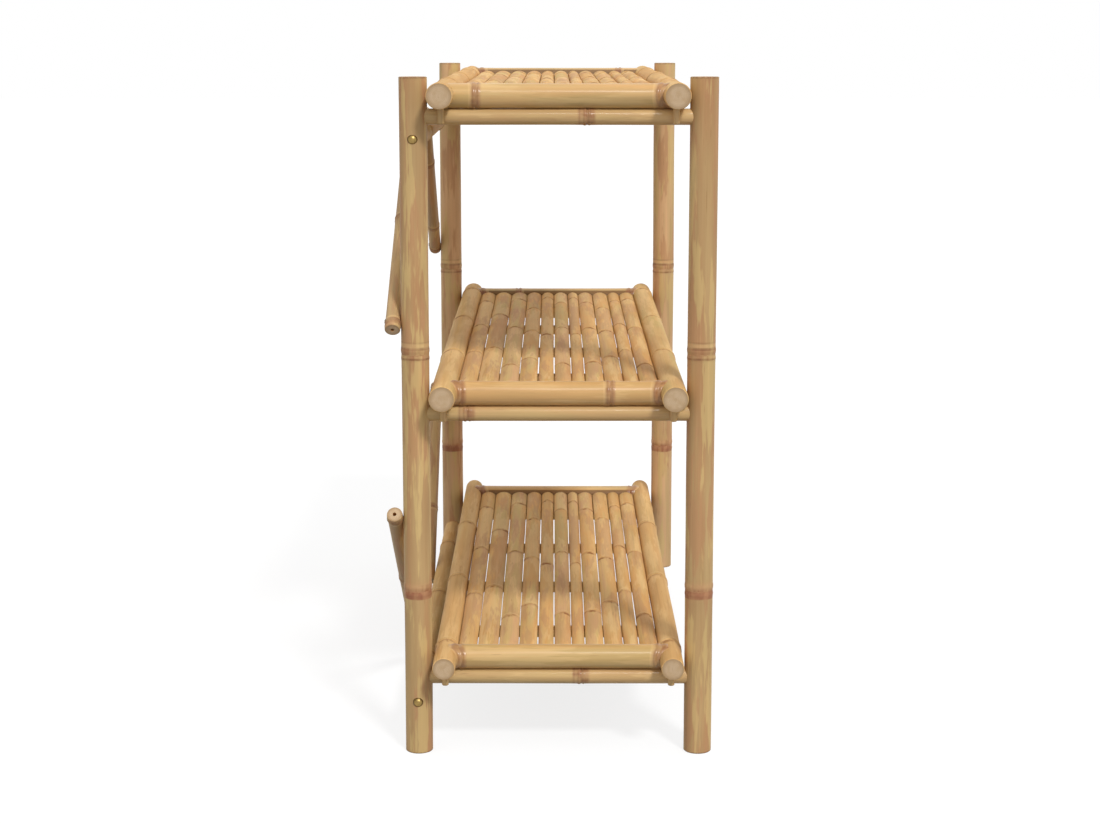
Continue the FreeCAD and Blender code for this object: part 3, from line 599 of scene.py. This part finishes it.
def bamboo_skin(
    name, tints, patches, looks, spacing, lines, gloss,
    ends=None, band_below=None, corner=False,
):
    """Varnished bamboo skin: long stripes, ragged patches, fine fibre and the marks of the nodes.

    Looks gives the strength and the scale of patches, the strength of streaks and of the stain
    and smudges of nodes, how far these reach, and the share of a node's marks that wear has left
    everywhere. Ends gives a piece's length and how far a darkening reaches from its ends: dirt on
    posts, painted shade with some dirt on slats, where they meet the end bars. Below band_below,
    along the stem, a node is a dark band in place of lines. With corner, painted shade lies on
    the inner side up to the slats' crowns, where a bar meets the slats.
    """
    graph = Graph(name)
    grain = graph.attribute("grain")
    side, height, along = graph.split(grain)
    scar, ridge, tone = graph.split(graph.attribute("rings"))
    apart = graph.math("MULTIPLY", tone, TONE_SPREAD)

    def layer(number, scale, detail, distortion=0.0):
        """One layer of noise of its own."""
        return graph.noise(grain, scale, graph.math("ADD", apart, 6.0 * number), detail, distortion)

    def both(first, second):
        """The product of two shares."""
        return graph.math("MULTIPLY", first, second)

    hue = layer(0, (0.055, 0.055, 0.004), 2.0)
    broad = layer(1, (0.05, 0.05, 0.008), 2.0)
    stripes = layer(2, (0.2, 0.2, 0.006), 2.0)
    fine = layer(3, (0.9, 0.9, 0.012), 3.0)
    fibre = layer(4, (3.2, 3.2, 0.05), 2.0)
    scratch = layer(5, (0.7, 0.7, 0.035), 1.0)
    rag = graph.math("SUBTRACT", layer(6, (0.34, 0.34, 0.034), 2.0), 0.5)
    own = graph.math("ADD", both(tone, 0.6), both(hue, 1.6))
    colour = graph.ramp(graph.math("SUBTRACT", own, 0.6), tints)
    for number, patch in enumerate(patches):
        cloud = graph.math("ADD", layer(10 + number, looks["cloud"], 1.0), both(rag, 0.45))
        colour = graph.mix(graph.step(cloud, 0.51, 0.59, looks["patch"]), colour, patch)
    colour = graph.mix(graph.step(stripes, 0.54, 0.72, looks["streak"]), colour, BROWN_STREAK)
    colour = graph.mix(graph.step(stripes, 0.46, 0.30, looks["streak"]), colour, PALE_GOLD)
    colour = graph.mix(graph.step(scratch, 0.70, 0.78, 0.4), colour, BROWN_STREAK)
    shade = graph.math("ADD", both(fine, 0.16), both(broad, 0.38))
    colour = graph.scale(colour, graph.math("ADD", shade, 0.73))
    grainy = graph.step(fine, 0.3, 0.55)
    # Darker ends: dirt on posts; on slats, painted shade with some dirt where they meet the end bars
    if ends:
        length, reach = ends
        from_middle = graph.math("ABSOLUTE", graph.math("SUBTRACT", along, length / 2))
        end_dirt_and_shade = graph.step(from_middle, length / 2 - reach, length / 2, 0.7)
        colour = graph.mix(both(end_dirt_and_shade, grainy), colour, GRIME_AND_SHADE)
    # Painted shade on a bar's inner side, just above the slats' crowns, where bar and slats meet
    if corner:
        corner_shade_mask = both(graph.step(side, -2, -5), graph.step(height, 2.4, 0.8, 0.75))
        colour = graph.mix(both(corner_shade_mask, graph.step(height, -7, -4)), colour, GRIME_AND_SHADE)

    # Place across a node, in spacings of its rings, from its distances to both
    squares = graph.math("SUBTRACT", both(scar, scar), both(ridge, ridge))
    wander = both(graph.math("SUBTRACT", broad, 0.5), 0.22)
    across = graph.math("ADD", graph.math("ADD", both(squares, 0.5 / spacing ** 2), 0.5), wander)
    near = graph.step(scar, 3.4 * spacing, 3.0 * spacing)
    patchy = graph.step(layer(7, (0.11, 0.11, 0.02), 2.0), 0.36, 0.62)
    worn = graph.math("ADD", both(patchy, 1 - looks["kept"]), looks["kept"])

    def window(low, high, soft):
        """1 between two places across a node."""
        inside = both(graph.step(across, low - soft, low), graph.step(across, high + soft, high))
        return both(inside, near)

    strength = near
    if band_below:
        low_down = graph.step(along, band_below + 5, band_below - 5)
        strength = graph.math("SUBTRACT", 1.0, low_down)
        halo = both(graph.step(across, -0.55, -0.4), graph.step(across, 2.4, 0.3))
        colour = graph.mix(both(both(halo, near), both(low_down, 0.55)), colour, BLUSH)
        foot = graph.step(across, -0.6, -0.4)
        top = graph.step(graph.math("ADD", across, rag), 1.0, 0.2)
        band = both(both(foot, both(top, near)), both(low_down, worn))
        colour = graph.mix(both(band, 0.9), colour, BAND)
    marked = window(*looks["reach"])
    colour = graph.mix(both(marked, both(strength, both(worn, looks["stain"]))), colour, STAIN)
    colour = graph.mix(both(window(1.4, 1.9, 0.2), both(strength, 0.3)), colour, PALE_GOLD)
    smudge = graph.step(layer(8, (0.12, 0.12, 0.03), 1.0, 0.3), 0.5, 0.68, looks["smudge"])
    colour = graph.mix(both(marked, smudge), colour, SMUDGE)
    for place, half, soft, share in lines:
        line = both(window(place - half, place + half, soft), both(strength, worn))
        colour = graph.mix(both(line, share), colour, DARK_LINE)
    graph.relief(graph.math("ADD", fine, both(fibre, 0.4)), 0.25, 0.0003)
    rough = graph.math("ADD", both(fine, 0.2), gloss["rough"])
    return graph.finish(
        Base_Color=colour, Roughness=rough, Specular_IOR_Level=gloss["specular"],
        Coat_Weight=gloss["coat"], Coat_Roughness=gloss["coat_rough"],
    )


def sawn_bamboo(name):
    """A sawn end: pale pith wood, the dark dots of its fibres, a check at the middle, a darker rim."""
    graph = Graph(name)
    grain = graph.attribute("grain")
    across, over, _ = graph.split(grain)
    radial, radius, tone = graph.split(graph.attribute("rings"))
    share = graph.math("DIVIDE", radial, radius)
    apart = graph.math("MULTIPLY", tone, TONE_SPREAD)
    cloud = graph.noise(grain, (0.16, 0.16, 0.01), apart, 3.0)
    dots = graph.tree.nodes.new("ShaderNodeTexVoronoi")
    graph.feed(dots.inputs["Vector"], graph.stretch(grain, (1.15, 1.15, 0.02)))
    graph.feed(dots.inputs["Scale"], 1.0)
    dot = graph.step(dots.outputs["Distance"], 0.34, 0.16)
    colour = graph.mix(graph.step(cloud, 0.4, 0.7, 0.5), SAWN, SAWN_DEEP)
    growth = graph.math("SINE", graph.math("MULTIPLY", graph.math("ADD", radial, cloud), 3.6))
    colour = graph.mix(graph.step(growth, 0.2, 1.0, 0.16), colour, SAWN_RIM)
    colour = graph.mix(graph.math("MULTIPLY", dot, graph.math("MULTIPLY", share, 0.4)), colour, SAWN_RIM)
    wander = graph.math("MULTIPLY", graph.math("SUBTRACT", cloud, 0.5), 5.0)
    check = graph.step(graph.math("ABSOLUTE", graph.math("ADD", across, wander)), 0.35, 0.05)
    check = graph.math("MULTIPLY", check, graph.step(graph.math("ABSOLUTE", over), 3.6, 1.2))
    colour = graph.mix(graph.math("MULTIPLY", check, 0.4), colour, BROWN_STREAK)
    colour = graph.mix(graph.step(share, 0.6, 1.05, 0.6), colour, SAWN_RIM)
    graph.relief(graph.math("SUBTRACT", cloud, graph.math("MULTIPLY", dot, 0.5)), 0.4, 0.0003)
    return graph.finish(Base_Color=colour, Roughness=0.68, Specular_IOR_Level=0.2)


def hollow_bamboo(name):
    """The dark, papery inside of a stem."""
    graph = Graph(name)
    grain = graph.attribute("grain")
    cloud = graph.noise(grain, (0.7, 0.7, 0.1), 3.0, 3.0)
    colour = graph.mix(graph.step(cloud, 0.3, 0.7), PITH, PITH_PALE)
    return graph.finish(Base_Color=colour, Roughness=0.8)


def split_bamboo(name):
    """The inner side of a split stem: pale, with straight coarse fibre."""
    graph = Graph(name)
    grain = graph.attribute("grain")
    _, _, tone = graph.split(graph.attribute("rings"))
    apart = graph.math("MULTIPLY", tone, TONE_SPREAD)
    fibre = graph.noise(grain, (1.6, 1.6, 0.012), apart, 4.0)
    cloud = graph.noise(grain, (0.12, 0.12, 0.01), graph.math("ADD", apart, 7.0), 2.0)
    colour = graph.mix(graph.step(fibre, 0.35, 0.7, 0.75), SPLIT, SAWN_RIM)
    colour = graph.mix(graph.step(cloud, 0.5, 0.75, 0.4), colour, HONEY)
    graph.relief(fibre, 0.5, 0.0004)
    return graph.finish(Base_Color=colour, Roughness=0.62, Specular_IOR_Level=0.2)


def metal(name, colour, tarnish_and_shade, roughness):
    """Turned metal with a little tarnish, painted shade at the rim of a head, and fine scratches."""
    graph = Graph(name)
    place = graph.attribute("grain")
    rim, _, _ = graph.split(graph.attribute("rings"))
    tarnish = graph.noise(place, (0.5, 0.5, 0.5), 1.0, 4.0)
    scratch = graph.noise(place, (6.0, 1.2, 6.0), 2.0, 3.0)
    shade = graph.mix(graph.step(tarnish, 0.45, 0.75, 0.6), colour, tarnish_and_shade)
    # Painted shade and painted reflection of the wood around it: the rim of a head is darker
    shade = graph.mix(graph.step(rim, 0.6, 0.9, 0.85), shade, tarnish_and_shade)
    rough = graph.math("ADD", graph.math("MULTIPLY", scratch, 0.22), roughness)
    graph.relief(scratch, 0.12, 0.0002)
    return graph.finish(Base_Color=shade, Metallic=1.0, Roughness=rough)


post_tints = [TAN, SALMON, TAN, OLIVE_TAN, PALE_ROSE]
rail_tints = [GOLD, AMBER, GOLD, OLIVE_GOLD]
bar_tints = [BAR_GOLD, AMBER, BAR_GOLD, BAR_OLIVE]
thin_tints = [STRAW, PINK_STRAW, STRAW, GOLD]
slat_tints = [GOLD, PINK_GOLD, OLIVE_GOLD, HONEY, GOLD, PINK_GOLD]
brace_tints = [BRACE_TAN, BRACE_ROSE, BRACE_TAN]
post_looks = {
    "patch": 0.72, "cloud": (0.065, 0.065, 0.009), "streak": 0.14,
    "stain": 0.4, "smudge": 0.3, "reach": (0.0, 1.25, 0.3), "kept": 0.35,
}
rail_looks = {
    "patch": 0.48, "cloud": (0.055, 0.055, 0.007), "streak": 0.2,
    "stain": 0.2, "smudge": 0.5, "reach": (-0.4, 0.5, 0.4), "kept": 0.15,
}
bar_looks = {
    "patch": 0.35, "cloud": (0.06, 0.06, 0.009), "streak": 0.2,
    "stain": 0.6, "smudge": 0.35, "reach": (-0.1, 1.3, 0.6), "kept": 0.6,
}
thin_looks = {
    "patch": 0.42, "cloud": (0.07, 0.07, 0.008), "streak": 0.22,
    "stain": 0.7, "smudge": 0.45, "reach": (-0.8, 2.0, 0.8), "kept": 0.55,
}
brace_looks = {
    "patch": 0.5, "cloud": (0.08, 0.08, 0.01), "streak": 0.2,
    "stain": 0.4, "smudge": 0.3, "reach": (-0.2, 1.2, 0.4), "kept": 0.35,
}
slat_looks = {
    "patch": 0.47, "cloud": (0.055, 0.055, 0.007), "streak": 0.16,
    "stain": 0.25, "smudge": 0.7, "reach": (-0.5, 0.6, 0.4), "kept": 0.15,
}
slats_low, slats_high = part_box("top_slats")
# Slats darken at their ends: painted shade where they meet the end bars, with some dirt
slat_ends = ((slats_high.x - slats_low.x) / MM, SLAT_END_SHADE)
post_low, post_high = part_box("post_front_left")
post_ends = ((post_high.z - post_low.z) / MM, POST_DIRT)
gold_patches = (PALE_GOLD, AMBER)
post_patches = (ROSE, FLAME)
straw_patches = (PALE_GOLD, STRAW)
slat_patches = (PALE_GOLD, ROSE)
post_skin = bamboo_skin(
    "bamboo_post_skin", post_tints, post_patches, post_looks, POST["spacing"], POST_LINES, SATIN,
    post_ends, POST_BAND_BELOW,
)
rail_skin = bamboo_skin(
    "bamboo_rail_skin", rail_tints, gold_patches, rail_looks, RAIL["spacing"], FAINT_LINES, MATT,
)
# The bars take painted shade on their inner side where they meet the slats
bar_skin = bamboo_skin(
    "bamboo_bar_skin", bar_tints, gold_patches, bar_looks, END_BAR["spacing"], BAR_LINES, GLOSSY,
    corner=True,
)
thin_skin = bamboo_skin(
    "bamboo_thin_skin", thin_tints, straw_patches, thin_looks, CROSSBAR["spacing"], THIN_LINES, SHINY,
)
brace_skin = bamboo_skin(
    "bamboo_brace_skin", brace_tints, post_patches, brace_looks, BRACE["spacing"], BAR_LINES, SATIN,
)
slat_skin = bamboo_skin(
    "bamboo_slat_skin", slat_tints, slat_patches, slat_looks, SLAT_RING_SPACING, FAINT_LINES, MATT,
    slat_ends,
)
sawn = sawn_bamboo("bamboo_sawn_end")
hollow = hollow_bamboo("bamboo_hollow")
split_face = split_bamboo("bamboo_split_face")
brass = metal("brass_screw", BRASS, BRASS_TARNISH_AND_SHADE, 0.3)
steel = metal("steel_screw", STEEL, STEEL_TARNISH_AND_SHADE, 0.32)


# Pieces

def tone_of(name):
    """A number between 0 and 1 that belongs to one piece."""
    return random.Random(name).random()


def box_of(node):
    """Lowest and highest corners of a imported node, in millimetres."""
    low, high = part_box(node)
    return Vector(low) / MM, Vector(high) / MM


def ends_along(node, axis):
    """Both ends of a packed stem's axis."""
    low, high = box_of(node)
    start, end = (low + high) / 2, (low + high) / 2
    start[axis], end[axis] = low[axis], high[axis]
    return start, end


def show(shape, node, materials):
    """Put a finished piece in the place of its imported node."""
    piece = shape.build(materials)
    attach(piece, "root")
    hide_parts(node)


def make_stem(node, axis, kind, nodes, skin, tone=None):
    """A stem that runs along X, Y or Z."""
    shape = Shape(f"{node}_stem")
    start, end = ends_along(node, axis)
    add_stem(shape, start, end, kind, nodes, tone_of(node) if tone is None else tone)
    show(shape, node, [skin, sawn, hollow])


def make_post(depth, side):
    """An upright, with a tone of its own."""
    tone = POST_TONES[depth, side]
    make_stem(f"post_{depth}_{side}", 2, POST, POST_NODES, post_skin, tone)


def make_end_bar(tier, side):
    """A bar between two rails, coped to both, with a tenon in each."""
    node = f"{tier}_end_bar_{side}"
    tenon_ends = ends_along(node, 1)
    front, _ = ends_along(f"{tier}_rail_front", 0)
    back, _ = ends_along(f"{tier}_rail_back", 0)
    _, slats_high = box_of(f"{tier}_slats")
    reach = TIER_RAILS[tier]["radius"] - COPE_BITE
    drop = Vector((0, 0, END_BAR_DROP))
    start, end = [tenon - drop for tenon in tenon_ends]
    start.y = front.y + reach
    end.y = back.y - reach
    cope = {"radius": reach, "rise": start.z - front.z, "crown": slats_high.z - start.z}
    nodes = [place % (end.y - start.y) for place in END_BAR_NODES[tier]]
    shape = Shape(f"{node}_stem")
    tone = tone_of(node)
    inwards = Vector((0, END_TENON_SINK, 0))
    add_stem(shape, tenon_ends[0], start + drop + inwards, END_TENON, (), tone)
    add_stem(shape, end + drop - inwards, tenon_ends[1], END_TENON, (), tone)
    if side == "right":
        start, end = end, start
    add_stem(shape, start, end, END_BAR, nodes, tone, cope)
    show(shape, node, [bar_skin, sawn, hollow])


def make_brace(level, side):
    """A knee brace, from the back of a post to a back rail."""
    node = f"brace_{level}_{side}"
    mirror = Vector((SIDES[side], 1, 1))
    foot = Vector(BRACE_FOOT[level]) * mirror
    head = Vector(BRACE_HEAD[level]) * mirror
    past = (head - foot).normalized() * BRACE_OVERHANG
    shape = Shape(f"{node}_stem")
    add_stem(shape, foot - past, head + past, BRACE, BRACE_NODES[side], tone_of(node))
    show(shape, node, [brace_skin, sawn, hollow])


def make_slats(tier):
    """The slats of one shelf."""
    node = f"{tier}_slats"
    low, high = box_of(node)
    field = high.y - low.y - SLAT_GAP * (len(SLATS) - 1)
    total = sum(share for share, _ in SLATS)
    shape = Shape(f"{node}_split")
    edge = high.y
    for number, (share, nodes) in enumerate(SLATS):
        width = field * share / total
        tone = tone_of(f"slat_{number}")
        add_slat(shape, low.x, high.x, edge - width / 2, low.z, width / 2, nodes, tone)
        edge -= width + SLAT_GAP
    show(shape, node, [slat_skin, split_face])


def make_battens(tier):
    """The battens under one shelf."""
    for number in range(1, 5):
        node = f"{tier}_batten_{number}"
        low, high = box_of(node)
        shape = Shape(f"{node}_split")
        inset = BATTEN_TENON["length"]
        add_batten(shape, (low.x + high.x) / 2, low.y + inset, high.y - inset, high.z, tone_of(node))
        show(shape, node, [slat_skin, split_face])


def make_pegs(tier):
    """The stop pegs below one shelf."""
    node = f"{tier}_pegs"
    low, high = box_of(node)
    shape = Shape(f"{node}_round")
    radius = PEG["radius"]
    for x in (low.x + radius, high.x - radius):
        for y in (low.y + radius, high.y - radius):
            tone = tone_of(f"{node}{x}{y}")
            add_stem(shape, Vector((x, y, low.z)), Vector((x, y, high.z)), PEG, (), tone)
    show(shape, node, [thin_skin, sawn, hollow])


def make_screws():
    """Dome screws in the back posts, and round-head screws through the braces."""
    domes = Shape("back_rail_screws_turned")
    rounds = Shape("brace_screws_turned")
    back = Vector((0, 1, 0))
    for level in LEVELS:
        for sign in SIDES.values():
            seat = Vector((sign * DOME_SEAT_X, DOME_SEAT_Y, BRACE_HEAD[level][2]))
            add_screw(domes, seat, Vector((sign, 0, 0)), DOME_SCREW)
            for x, y, z in (BRACE_FOOT[level], BRACE_HEAD[level]):
                seat = Vector((sign * x, y + ROUND_SEAT_BEHIND, z))
                add_screw(rounds, seat, back, ROUND_SCREW)
    show(domes, "back_rail_screws", [brass])
    show(rounds, "brace_screws", [steel])


for depth in DEPTHS:
    for side in SIDES:
        make_post(depth, side)
for tier in TIERS:
    for side in SIDES:
        make_stem(f"crossbar_{side}_{tier}", 1, CROSSBAR, CROSSBAR_NODES[tier], thin_skin)
        make_end_bar(tier, side)
    for depth in DEPTHS:
        make_stem(f"{tier}_rail_{depth}", 0, TIER_RAILS[tier], RAIL_NODES[tier], rail_skin)
    make_slats(tier)
    make_battens(tier)
    make_pegs(tier)
for level in LEVELS:
    make_stem(f"back_rail_{level}", 0, BACK_RAIL, BACK_RAIL_NODES, rail_skin)
    for side in SIDES:
        make_brace(level, side)
make_screws()


# Floor, light and camera

# Lengths of this part are metres
FLOOR_HALF = 20.0
FLOOR_SEEN = (0.22, 0.22, 0.22, 1)
FLOOR_GLOW = 0.8
FLOOR_BOUNCE = (0.25, 0.25, 0.25, 1)
SKY_AT_HORIZON = 0.78
SKY_ABOVE = 0.88
KEY = {"energy": 1.8, "degrees": 9, "towards": (-0.641, -0.299, 0.707)}
STRIP = {
    "energy": 30, "width": 1.3, "height": 0.35, "away": 3.0,
    "aim": (-0.45, -0.62, 0.4), "towards": (-0.643, 0, 0.766),
}
CAMERA = {
    "lens": 67.0, "shift_y": -0.06, "place": (-2.6358, -0.0037, 0.8157),
    "pitch": 0.15575, "yaw": 0.00187,
}


def seen_directly(tree):
    """1 for rays that show a surface, in metal or through glass too; 0 for light on its way."""
    path = tree.nodes.new("ShaderNodeLightPath")
    total = path.outputs["Is Camera Ray"]
    for name in ("Is Glossy Ray", "Is Transmission Ray"):
        either = tree.nodes.new("ShaderNodeMath")
        either.operation = "MAXIMUM"
        tree.links.new(total, either.inputs[0])
        tree.links.new(path.outputs[name], either.inputs[1])
        total = either.outputs[0]
    return total


def make_floor():
    """A wide pale floor that looks white and keeps the object's shadow."""
    half = FLOOR_HALF
    mesh = bpy.data.meshes.new("floor")
    corners = [(-half, -half, 0), (half, -half, 0), (half, half, 0), (-half, half, 0)]
    mesh.from_pydata(corners, [], [(0, 1, 2, 3)])
    floor = bpy.data.objects.new("floor", mesh)
    bpy.context.scene.collection.objects.link(floor)
    material = bpy.data.materials.new("floor_white")
    material.use_nodes = True
    tree = material.node_tree
    tree.nodes.clear()
    shown = tree.nodes.new("ShaderNodeBsdfDiffuse")
    shown.inputs["Color"].default_value = FLOOR_SEEN
    glow = tree.nodes.new("ShaderNodeEmission")
    glow.inputs["Strength"].default_value = FLOOR_GLOW
    both = tree.nodes.new("ShaderNodeAddShader")
    tree.links.new(shown.outputs[0], both.inputs[0])
    tree.links.new(glow.outputs[0], both.inputs[1])
    bounce = tree.nodes.new("ShaderNodeBsdfDiffuse")
    bounce.inputs["Color"].default_value = FLOOR_BOUNCE
    choice = tree.nodes.new("ShaderNodeMixShader")
    tree.links.new(seen_directly(tree), choice.inputs[0])
    tree.links.new(bounce.outputs[0], choice.inputs[1])
    tree.links.new(both.outputs[0], choice.inputs[2])
    output = tree.nodes.new("ShaderNodeOutputMaterial")
    tree.links.new(choice.outputs[0], output.inputs["Surface"])
    mesh.materials.append(material)


def make_world():
    """White surroundings, brighter above than at the horizon as light."""
    world = bpy.data.worlds.new("studio")
    bpy.context.scene.world = world
    world.use_nodes = True
    tree = world.node_tree
    place = tree.nodes.new("ShaderNodeTexCoord")
    parts = tree.nodes.new("ShaderNodeSeparateXYZ")
    tree.links.new(place.outputs["Generated"], parts.inputs[0])
    height = tree.nodes.new("ShaderNodeMapRange")
    height.inputs["From Min"].default_value = 0.0
    height.inputs["To Min"].default_value = SKY_AT_HORIZON
    height.inputs["To Max"].default_value = SKY_ABOVE
    tree.links.new(parts.outputs["Z"], height.inputs["Value"])
    strength = tree.nodes.new("ShaderNodeMix")
    tree.links.new(seen_directly(tree), strength.inputs["Factor"])
    tree.links.new(height.outputs[0], strength.inputs["A"])
    strength.inputs["B"].default_value = 1.0
    sky = tree.nodes["Background"]
    sky.inputs["Color"].default_value = (1, 1, 1, 1)
    tree.links.new(strength.outputs["Result"], sky.inputs["Strength"])


def make_key_light():
    """A soft key light from the front right of the picture, half way up."""
    lamp = bpy.data.lights.new("key", "SUN")
    lamp.energy = KEY["energy"]
    lamp.angle = math.radians(KEY["degrees"])
    key = bpy.data.objects.new("key", lamp)
    bpy.context.scene.collection.objects.link(key)
    towards = Vector(KEY["towards"])
    key.rotation_euler = towards.to_track_quat("Z", "Y").to_euler()


def make_strip_light():
    """A long light above the near end, for gloss alone: the gleam along varnished bars."""
    lamp = bpy.data.lights.new("strip", "AREA")
    lamp.shape = "RECTANGLE"
    lamp.size = STRIP["width"]
    lamp.size_y = STRIP["height"]
    lamp.energy = STRIP["energy"]
    strip = bpy.data.objects.new("strip", lamp)
    bpy.context.scene.collection.objects.link(strip)
    strip.visible_diffuse = False
    towards = Vector(STRIP["towards"])
    strip.location = Vector(STRIP["aim"]) + STRIP["away"] * towards
    strip.rotation_euler = towards.to_track_quat("Z", "Y").to_euler()


def make_camera():
    """The photograph's camera: at the short end, a little above the top shelf."""
    lens = bpy.data.cameras.new("camera")
    lens.sensor_width = 36
    lens.lens = CAMERA["lens"]
    lens.shift_y = CAMERA["shift_y"]
    camera = bpy.data.objects.new("camera", lens)
    bpy.context.scene.collection.objects.link(camera)
    camera.location = CAMERA["place"]
    camera.rotation_euler = (math.pi / 2 - CAMERA["pitch"], 0, CAMERA["yaw"] - math.pi / 2)
    bpy.context.scene.camera = camera


make_floor()
make_world()
make_key_light()
make_strip_light()
make_camera()
bpy.context.scene.view_settings.view_transform = "Standard"
